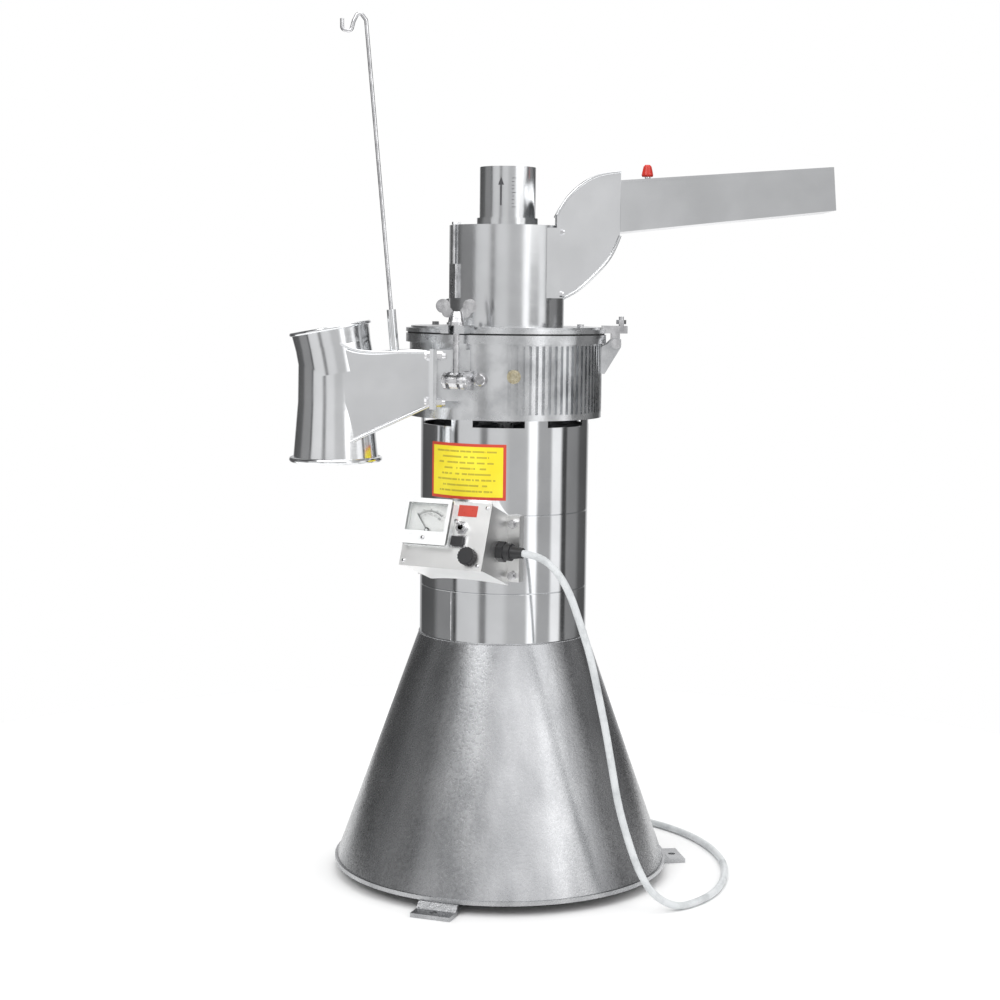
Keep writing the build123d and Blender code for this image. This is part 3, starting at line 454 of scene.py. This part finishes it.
def solid_number(writing, ink):
    """Swap a piece of writing for its mesh."""
    bpy.context.view_layer.update()
    mesh = bpy.data.meshes.new_from_object(writing.evaluated_get(bpy.context.evaluated_depsgraph_get()))
    piece = bpy.data.objects.new(writing.name + "_mesh", mesh)
    bpy.context.scene.collection.objects.link(piece)
    piece.matrix_world = writing.matrix_world
    bpy.data.objects.remove(writing)
    mesh.materials.clear()
    mesh.materials.append(ink)
    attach(piece, "mill")


def make_meter_face():
    """The meter's card with its arc, graduations and numbers."""
    paper = moulded("dial_paper", (0.92, 0.93, 0.92), (0.5, 0.65))
    ink = moulded("dial_ink", (0.03, 0.03, 0.035), (0.45, 0.6))
    bm = bmesh.new()
    panel_polygon(bm, [(-0.0255, -0.0025), (0.0255, -0.0025), (0.0255, 0.0300), (-0.0255, 0.0300)], 0.0061)
    add_mesh("dial_card", bm, paper, "mill", smooth=False)
    bm = bmesh.new()
    panel_polygon(bm, arc_outline(SCALE_R - 0.0006, SCALE_R, 42, -42, 24), SCALE_DEPTH)
    for i in range(21):
        angle = 40 - 4 * i
        length = 0.0030 if i % 5 == 0 else 0.0017
        half = 0.9 if i % 5 == 0 else 0.5
        panel_polygon(bm, arc_outline(SCALE_R, SCALE_R + length, angle + half, angle - half, 1), SCALE_DEPTH)
    add_mesh("dial_scale", bm, ink, "mill", smooth=False)
    for text, angle in (("0", 40), ("5", 20), ("10", 0), ("15", -20), ("20", -40)):
        data = bpy.data.curves.new(f"dial_number_{text}", "FONT")
        data.body = text
        data.size = 0.0042
        data.align_x = data.align_y = "CENTER"
        data.extrude = 0.00008
        number = bpy.data.objects.new(data.name, data)
        bpy.context.scene.collection.objects.link(number)
        turn = radians(angle)
        at = (GAUGE_V - NUMBER_R * sin(turn), GAUGE_W - PIVOT_DROP + NUMBER_R * cos(turn), 0.00655)
        number.matrix_world = PANEL @ Matrix.Translation(at) @ Matrix.Rotation(turn, 4, "Z")
        solid_number(number, ink)


make_meter_face()


# --- Marks on the fineness tube ------------------------------------------------------------------
MARK_MIDDLE = radians(-104)
MARK_SCALE_START = radians(-82)
MARK_THICKNESS = 0.00004


def make_tube_marks():
    """An up arrow and a column of graduations, printed on the tube."""
    low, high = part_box("fineness_tube")
    radius = (high.x - low.x) / 2
    top = high.z - 0.012
    bm = bmesh.new()

    def printed(start, end, foot, head, steps=4):
        """A film of ink round the tube, from foot up to head(angle)."""
        columns = []
        for i in range(steps + 1):
            angle = start + (end - start) * i / steps
            columns.append([bm.verts.new((r * cos(angle), r * sin(angle), z))
                            for r in (radius, radius + MARK_THICKNESS) for z in (foot, head(angle))])
        for (a, b, c, d), (e, f, g, h) in zip(columns, columns[1:]):
            for corners in ((c, g, h, d), (a, b, f, e), (a, e, g, c), (b, d, h, f)):
                bm.faces.new(corners)
        for a, b, c, d in (columns[0], columns[-1]):
            bm.faces.new((a, c, d, b))

    printed(MARK_MIDDLE - 0.030, MARK_MIDDLE + 0.030, top - 0.034, lambda angle: top - 0.010)
    printed(MARK_MIDDLE - 0.105, MARK_MIDDLE + 0.105, top - 0.010,
            lambda angle: top - 0.0002 - 0.0096 * abs(angle - MARK_MIDDLE) / 0.105, 8)
    for i in range(9):
        z = top - 0.036 + 0.0042 * i
        reach = 0.15 if i % 4 == 0 else 0.09
        printed(MARK_SCALE_START, MARK_SCALE_START + reach, z, lambda angle: z + 0.0006)
    ink = moulded("mark_ink", (0.06, 0.06, 0.065), (0.4, 0.55))
    add_mesh("tube_marks", bm, ink, "fineness_tube", smooth=False)


make_tube_marks()


# --- Beads, welds and small fittings ---------------------------------------------------------------
CHUTE_TOP = [(0.058, 0.794), (0.066, 0.810), (0.081, 0.826), (0.098, 0.8375), (0.116, 0.8435),
             (0.132, 0.845)]
CHUTE_LOW = [(0.132, 0.771), (0.125, 0.751), (0.111, 0.7325), (0.093, 0.7145), (0.079, 0.7035),
             (0.066, 0.697)]
CHUTE_HALF = 0.044
DUCT_TOP = [(-0.087, -0.1055, 0.634), (-0.130, -0.1085, 0.6335), (-0.165, -0.1115, 0.6335),
            (-0.185, -0.113, 0.6395), (-0.199, -0.1135, 0.6485)]
DUCT_LOW = [(-0.087, -0.1055, 0.573), (-0.140, -0.110, 0.5485), (-0.186, -0.1135, 0.526)]
SEAM_ANGLE, SEAM_R, SEAM_HEIGHTS = radians(-127.5), 0.1011, (0.294, 0.3235, 0.3525)
WELD_R, WELD_Z, WELD_POINTS = 0.1018, 0.2935, 48
PLUG_ANGLE, PLUG_R, PLUG_Z = radians(-104.5), 0.1153, 0.603
PLUG_PROFILE = [(0.0085, 0), (0.0085, 0.0016), (0.0066, 0.0016), (0.0066, 0.0052), (0.0058, 0.0060),
                (0.0030, 0.0060), (0.0030, 0.0048)]
WASHER_PROFILE = [(0.0042, 0), (0.0100, 0), (0.0100, 0.0008), (0.0042, 0.0008)]
WASHER_X, WASHER_Y, WASHER_Z = -0.057, 0.122, 0.6651
SCREW_PROFILE = [(0.0024, 0), (0.0024, 0.0006), (0.0016, 0.0013), (0.0004, 0.0015)]
SCREW_V, SCREW_W = 0.048, 0.034


def make_beads():
    """Rolled edges on the chute, the duct's seams, and the welds of the stand and column."""
    for word, y in (("front", -CHUTE_HALF), ("back", CHUTE_HALF)):
        for part, edge in (("top", CHUTE_TOP), ("low", CHUTE_LOW)):
            points = [(x, y, z) for x, z in edge]
            tube_along(f"chute_{part}_bead_{word}", points, 0.0019, polished, "lid")
    tube_along("duct_top_seam", DUCT_TOP, 0.0016, polished, "mill")
    tube_along("duct_low_seam", DUCT_LOW, 0.0021, polished, "mill")
    seam = [(SEAM_R * cos(SEAM_ANGLE), SEAM_R * sin(SEAM_ANGLE), z) for z in SEAM_HEIGHTS]
    tube_along("column_seam", seam, 0.0007, plated, "mill")
    turns = [2 * pi * i / WELD_POINTS for i in range(WELD_POINTS)]
    circle = [(WELD_R * cos(turn), WELD_R * sin(turn), WELD_Z) for turn in turns]
    skirt = NODES["base_skirt"].data.materials[0]
    tube_along("skirt_weld", circle, 0.0009, skirt, "mill", cyclic=True)


def make_meter_frame():
    """The pale rim round the meter's window."""
    bm = bmesh.new()
    outer, inner = (-0.030, -0.027, 0.030, 0.027), (-0.0255, -0.0115, 0.0255, 0.0215)
    layers = []
    for depth in (0.01505, 0.0160):
        for x0, y0, x1, y1 in (outer, inner):
            layers.append([bm.verts.new(PANEL @ Vector((GAUGE_V + x, GAUGE_W + y, depth)))
                           for x, y in ((x0, y0), (x1, y0), (x1, y1), (x0, y1))])
    low_out, low_in, high_out, high_in = layers
    for i in range(4):
        j = (i + 1) % 4
        for a, b in ((low_out, high_out), (high_out, high_in), (high_in, low_in), (low_in, low_out)):
            bm.faces.new((a[i], a[j], b[j], b[i]))
    bmesh.ops.recalc_face_normals(bm, faces=bm.faces)
    pale = moulded("meter_frame", (0.90, 0.91, 0.91), (0.2, 0.35))
    add_mesh("meter_frame", bm, pale, "mill", smooth=False)


def make_fittings():
    """The ring's plug, the washers under the wing nuts, and the panel's screws."""
    out = (cos(PLUG_ANGLE), sin(PLUG_ANGLE), 0)
    plug_at = facing((PLUG_R * out[0], PLUG_R * out[1], PLUG_Z), out)
    lathed("ring_plug", PLUG_PROFILE, plug_at, plated, "mill")
    for word, side in (("front", -1), ("back", 1)):
        at = Matrix.Translation((WASHER_X, side * WASHER_Y, WASHER_Z))
        lathed(f"wing_nut_washer_{word}", WASHER_PROFILE, at, plated, "lid")
    spots = [(v, w, 0.002) for v in (-SCREW_V, SCREW_V) for w in (-SCREW_W, SCREW_W)]
    for i, spot in enumerate(spots):
        at = PANEL @ Matrix.Translation(spot)
        lathed(f"panel_screw_{i}", SCREW_PROFILE, at, plated, "mill", 16)
    at = PANEL @ Matrix.Translation((GAUGE_V, GAUGE_W - 0.0195, 0.0160))
    lathed("meter_screw", SCREW_PROFILE, at, plated, "mill", 16)


make_beads()
make_meter_frame()
make_fittings()


# --- Stage ---------------------------------------------------------------------------------------
def make_stage():
    """A pale round floor."""
    bm = bmesh.new()
    bmesh.ops.create_circle(bm, cap_ends=True, segments=96, radius=1.1)
    mesh = bpy.data.meshes.new("floor")
    bm.to_mesh(mesh)
    bm.free()
    floor = bpy.data.objects.new("floor", mesh)
    bpy.context.scene.collection.objects.link(floor)
    mesh.materials.append(floor_paper())


def add_area(name, at, aim, size, power):
    """A soft rectangular light at a point, aimed at another."""
    data = bpy.data.lights.new(name, "AREA")
    data.shape = "RECTANGLE"
    data.size, data.size_y = size
    data.energy = power
    light = bpy.data.objects.new(name, data)
    bpy.context.scene.collection.objects.link(light)
    light.location = at
    light.rotation_euler = (Vector(aim) - Vector(at)).to_track_quat("-Z", "Y").to_euler()


# Brightness of the reflected room by the way round it, level and looking up: 0.25 is behind the camera.
LEVEL_BANDS = [(0.0, 0.27), (0.045, 0.27), (0.052, 0.06), (0.060, 0.06), (0.070, 0.70), (0.150, 0.75),
               (0.165, 0.25), (0.180, 0.25), (0.190, 0.72), (0.245, 0.72), (0.270, 0.54), (0.335, 0.54),
               (0.345, 1.4), (0.372, 1.4), (0.380, 0.43), (0.432, 0.43), (0.442, 1.05), (0.478, 1.05),
               (0.490, 0.07), (0.508, 0.07), (0.516, 0.28), (0.573, 0.25), (0.600, 0.11), (0.668, 0.09),
               (0.690, 0.55), (0.735, 1.0), (0.755, 0.50), (0.810, 0.42), (0.830, 0.08), (0.940, 0.11),
               (0.970, 0.27), (1.0, 0.27)]
HIGH_BANDS = [(0.0, 0.06), (0.045, 0.10), (0.10, 0.16), (0.153, 0.42), (0.205, 0.85), (0.245, 1.55),
              (0.345, 1.6), (0.39, 0.85), (0.455, 0.35), (0.50, 0.12), (0.62, 0.06), (0.67, 0.25),
              (0.71, 0.85), (0.79, 0.90), (0.83, 0.32), (0.90, 0.12), (1.0, 0.06)]


def world_ramp(tree, share, bands):
    """Grey levels by the way round the room, as a share of a full turn."""
    ramp = tree.nodes.new("ShaderNodeValToRGB")
    elements = ramp.color_ramp.elements
    while len(elements) < len(bands):
        elements.new(0.5)
    for element, (at, level) in zip(elements, bands):
        element.position = at
        element.color = (level, level, level * 1.01, 1)
    tree.links.new(share, ramp.inputs["Fac"])
    return ramp.outputs["Color"]


def make_world():
    """White room; the metals reflect soft bright walls with darker bands between them."""
    world = bpy.data.worlds.new("studio")
    bpy.context.scene.world = world
    world.use_nodes = True
    tree = world.node_tree
    background = tree.nodes["Background"]
    direction = tree.nodes.new("ShaderNodeTexCoord").outputs["Generated"]
    xyz = tree.nodes.new("ShaderNodeSeparateXYZ")
    tree.links.new(direction, xyz.inputs[0])
    turn = tree.nodes.new("ShaderNodeMath")
    turn.operation = "ARCTAN2"
    tree.links.new(xyz.outputs["Y"], turn.inputs[0])
    tree.links.new(xyz.outputs["X"], turn.inputs[1])
    share = tree.nodes.new("ShaderNodeMapRange")
    share.inputs["From Min"].default_value = -pi
    share.inputs["From Max"].default_value = pi
    tree.links.new(turn.outputs[0], share.inputs["Value"])
    rise = tree.nodes.new("ShaderNodeMapRange")
    rise.inputs["From Min"].default_value = 0.2
    rise.inputs["From Max"].default_value = 0.45
    tree.links.new(xyz.outputs["Z"], rise.inputs["Value"])
    both = tree.nodes.new("ShaderNodeMix")
    both.data_type = "RGBA"
    colours = [socket for socket in both.inputs if socket.type == "RGBA"]
    tree.links.new(rise.outputs["Result"], both.inputs[0])
    tree.links.new(world_ramp(tree, share.outputs["Result"], LEVEL_BANDS), colours[0])
    tree.links.new(world_ramp(tree, share.outputs["Result"], HIGH_BANDS), colours[1])
    tree.links.new(next(out for out in both.outputs if out.type == "RGBA"), background.inputs["Color"])
    plain = tree.nodes.new("ShaderNodeBackground")
    plain.inputs["Color"].default_value = (1, 1, 1, 1)
    path = tree.nodes.new("ShaderNodeLightPath")
    mix = tree.nodes.new("ShaderNodeMixShader")
    tree.links.new(path.outputs["Is Glossy Ray"], mix.inputs[0])
    tree.links.new(plain.outputs[0], mix.inputs[1])
    tree.links.new(background.outputs[0], mix.inputs[2])
    tree.links.new(mix.outputs[0], tree.nodes["World Output"].inputs["Surface"])


make_stage()
make_world()
add_area("key", (-1.6, -2.2, 2.6), (0, 0, 0.5), (1.6, 1.6), 30)
add_area("fill", (2.2, -1.6, 1.8), (0, 0, 0.5), (1.4, 2.0), 12)
add_area("top", (0.2, 0.6, 3.0), (0, 0, 0.4), (2.4, 2.4), 25)
bpy.context.scene.view_settings.view_transform = "Standard"
bpy.context.view_layer.update()
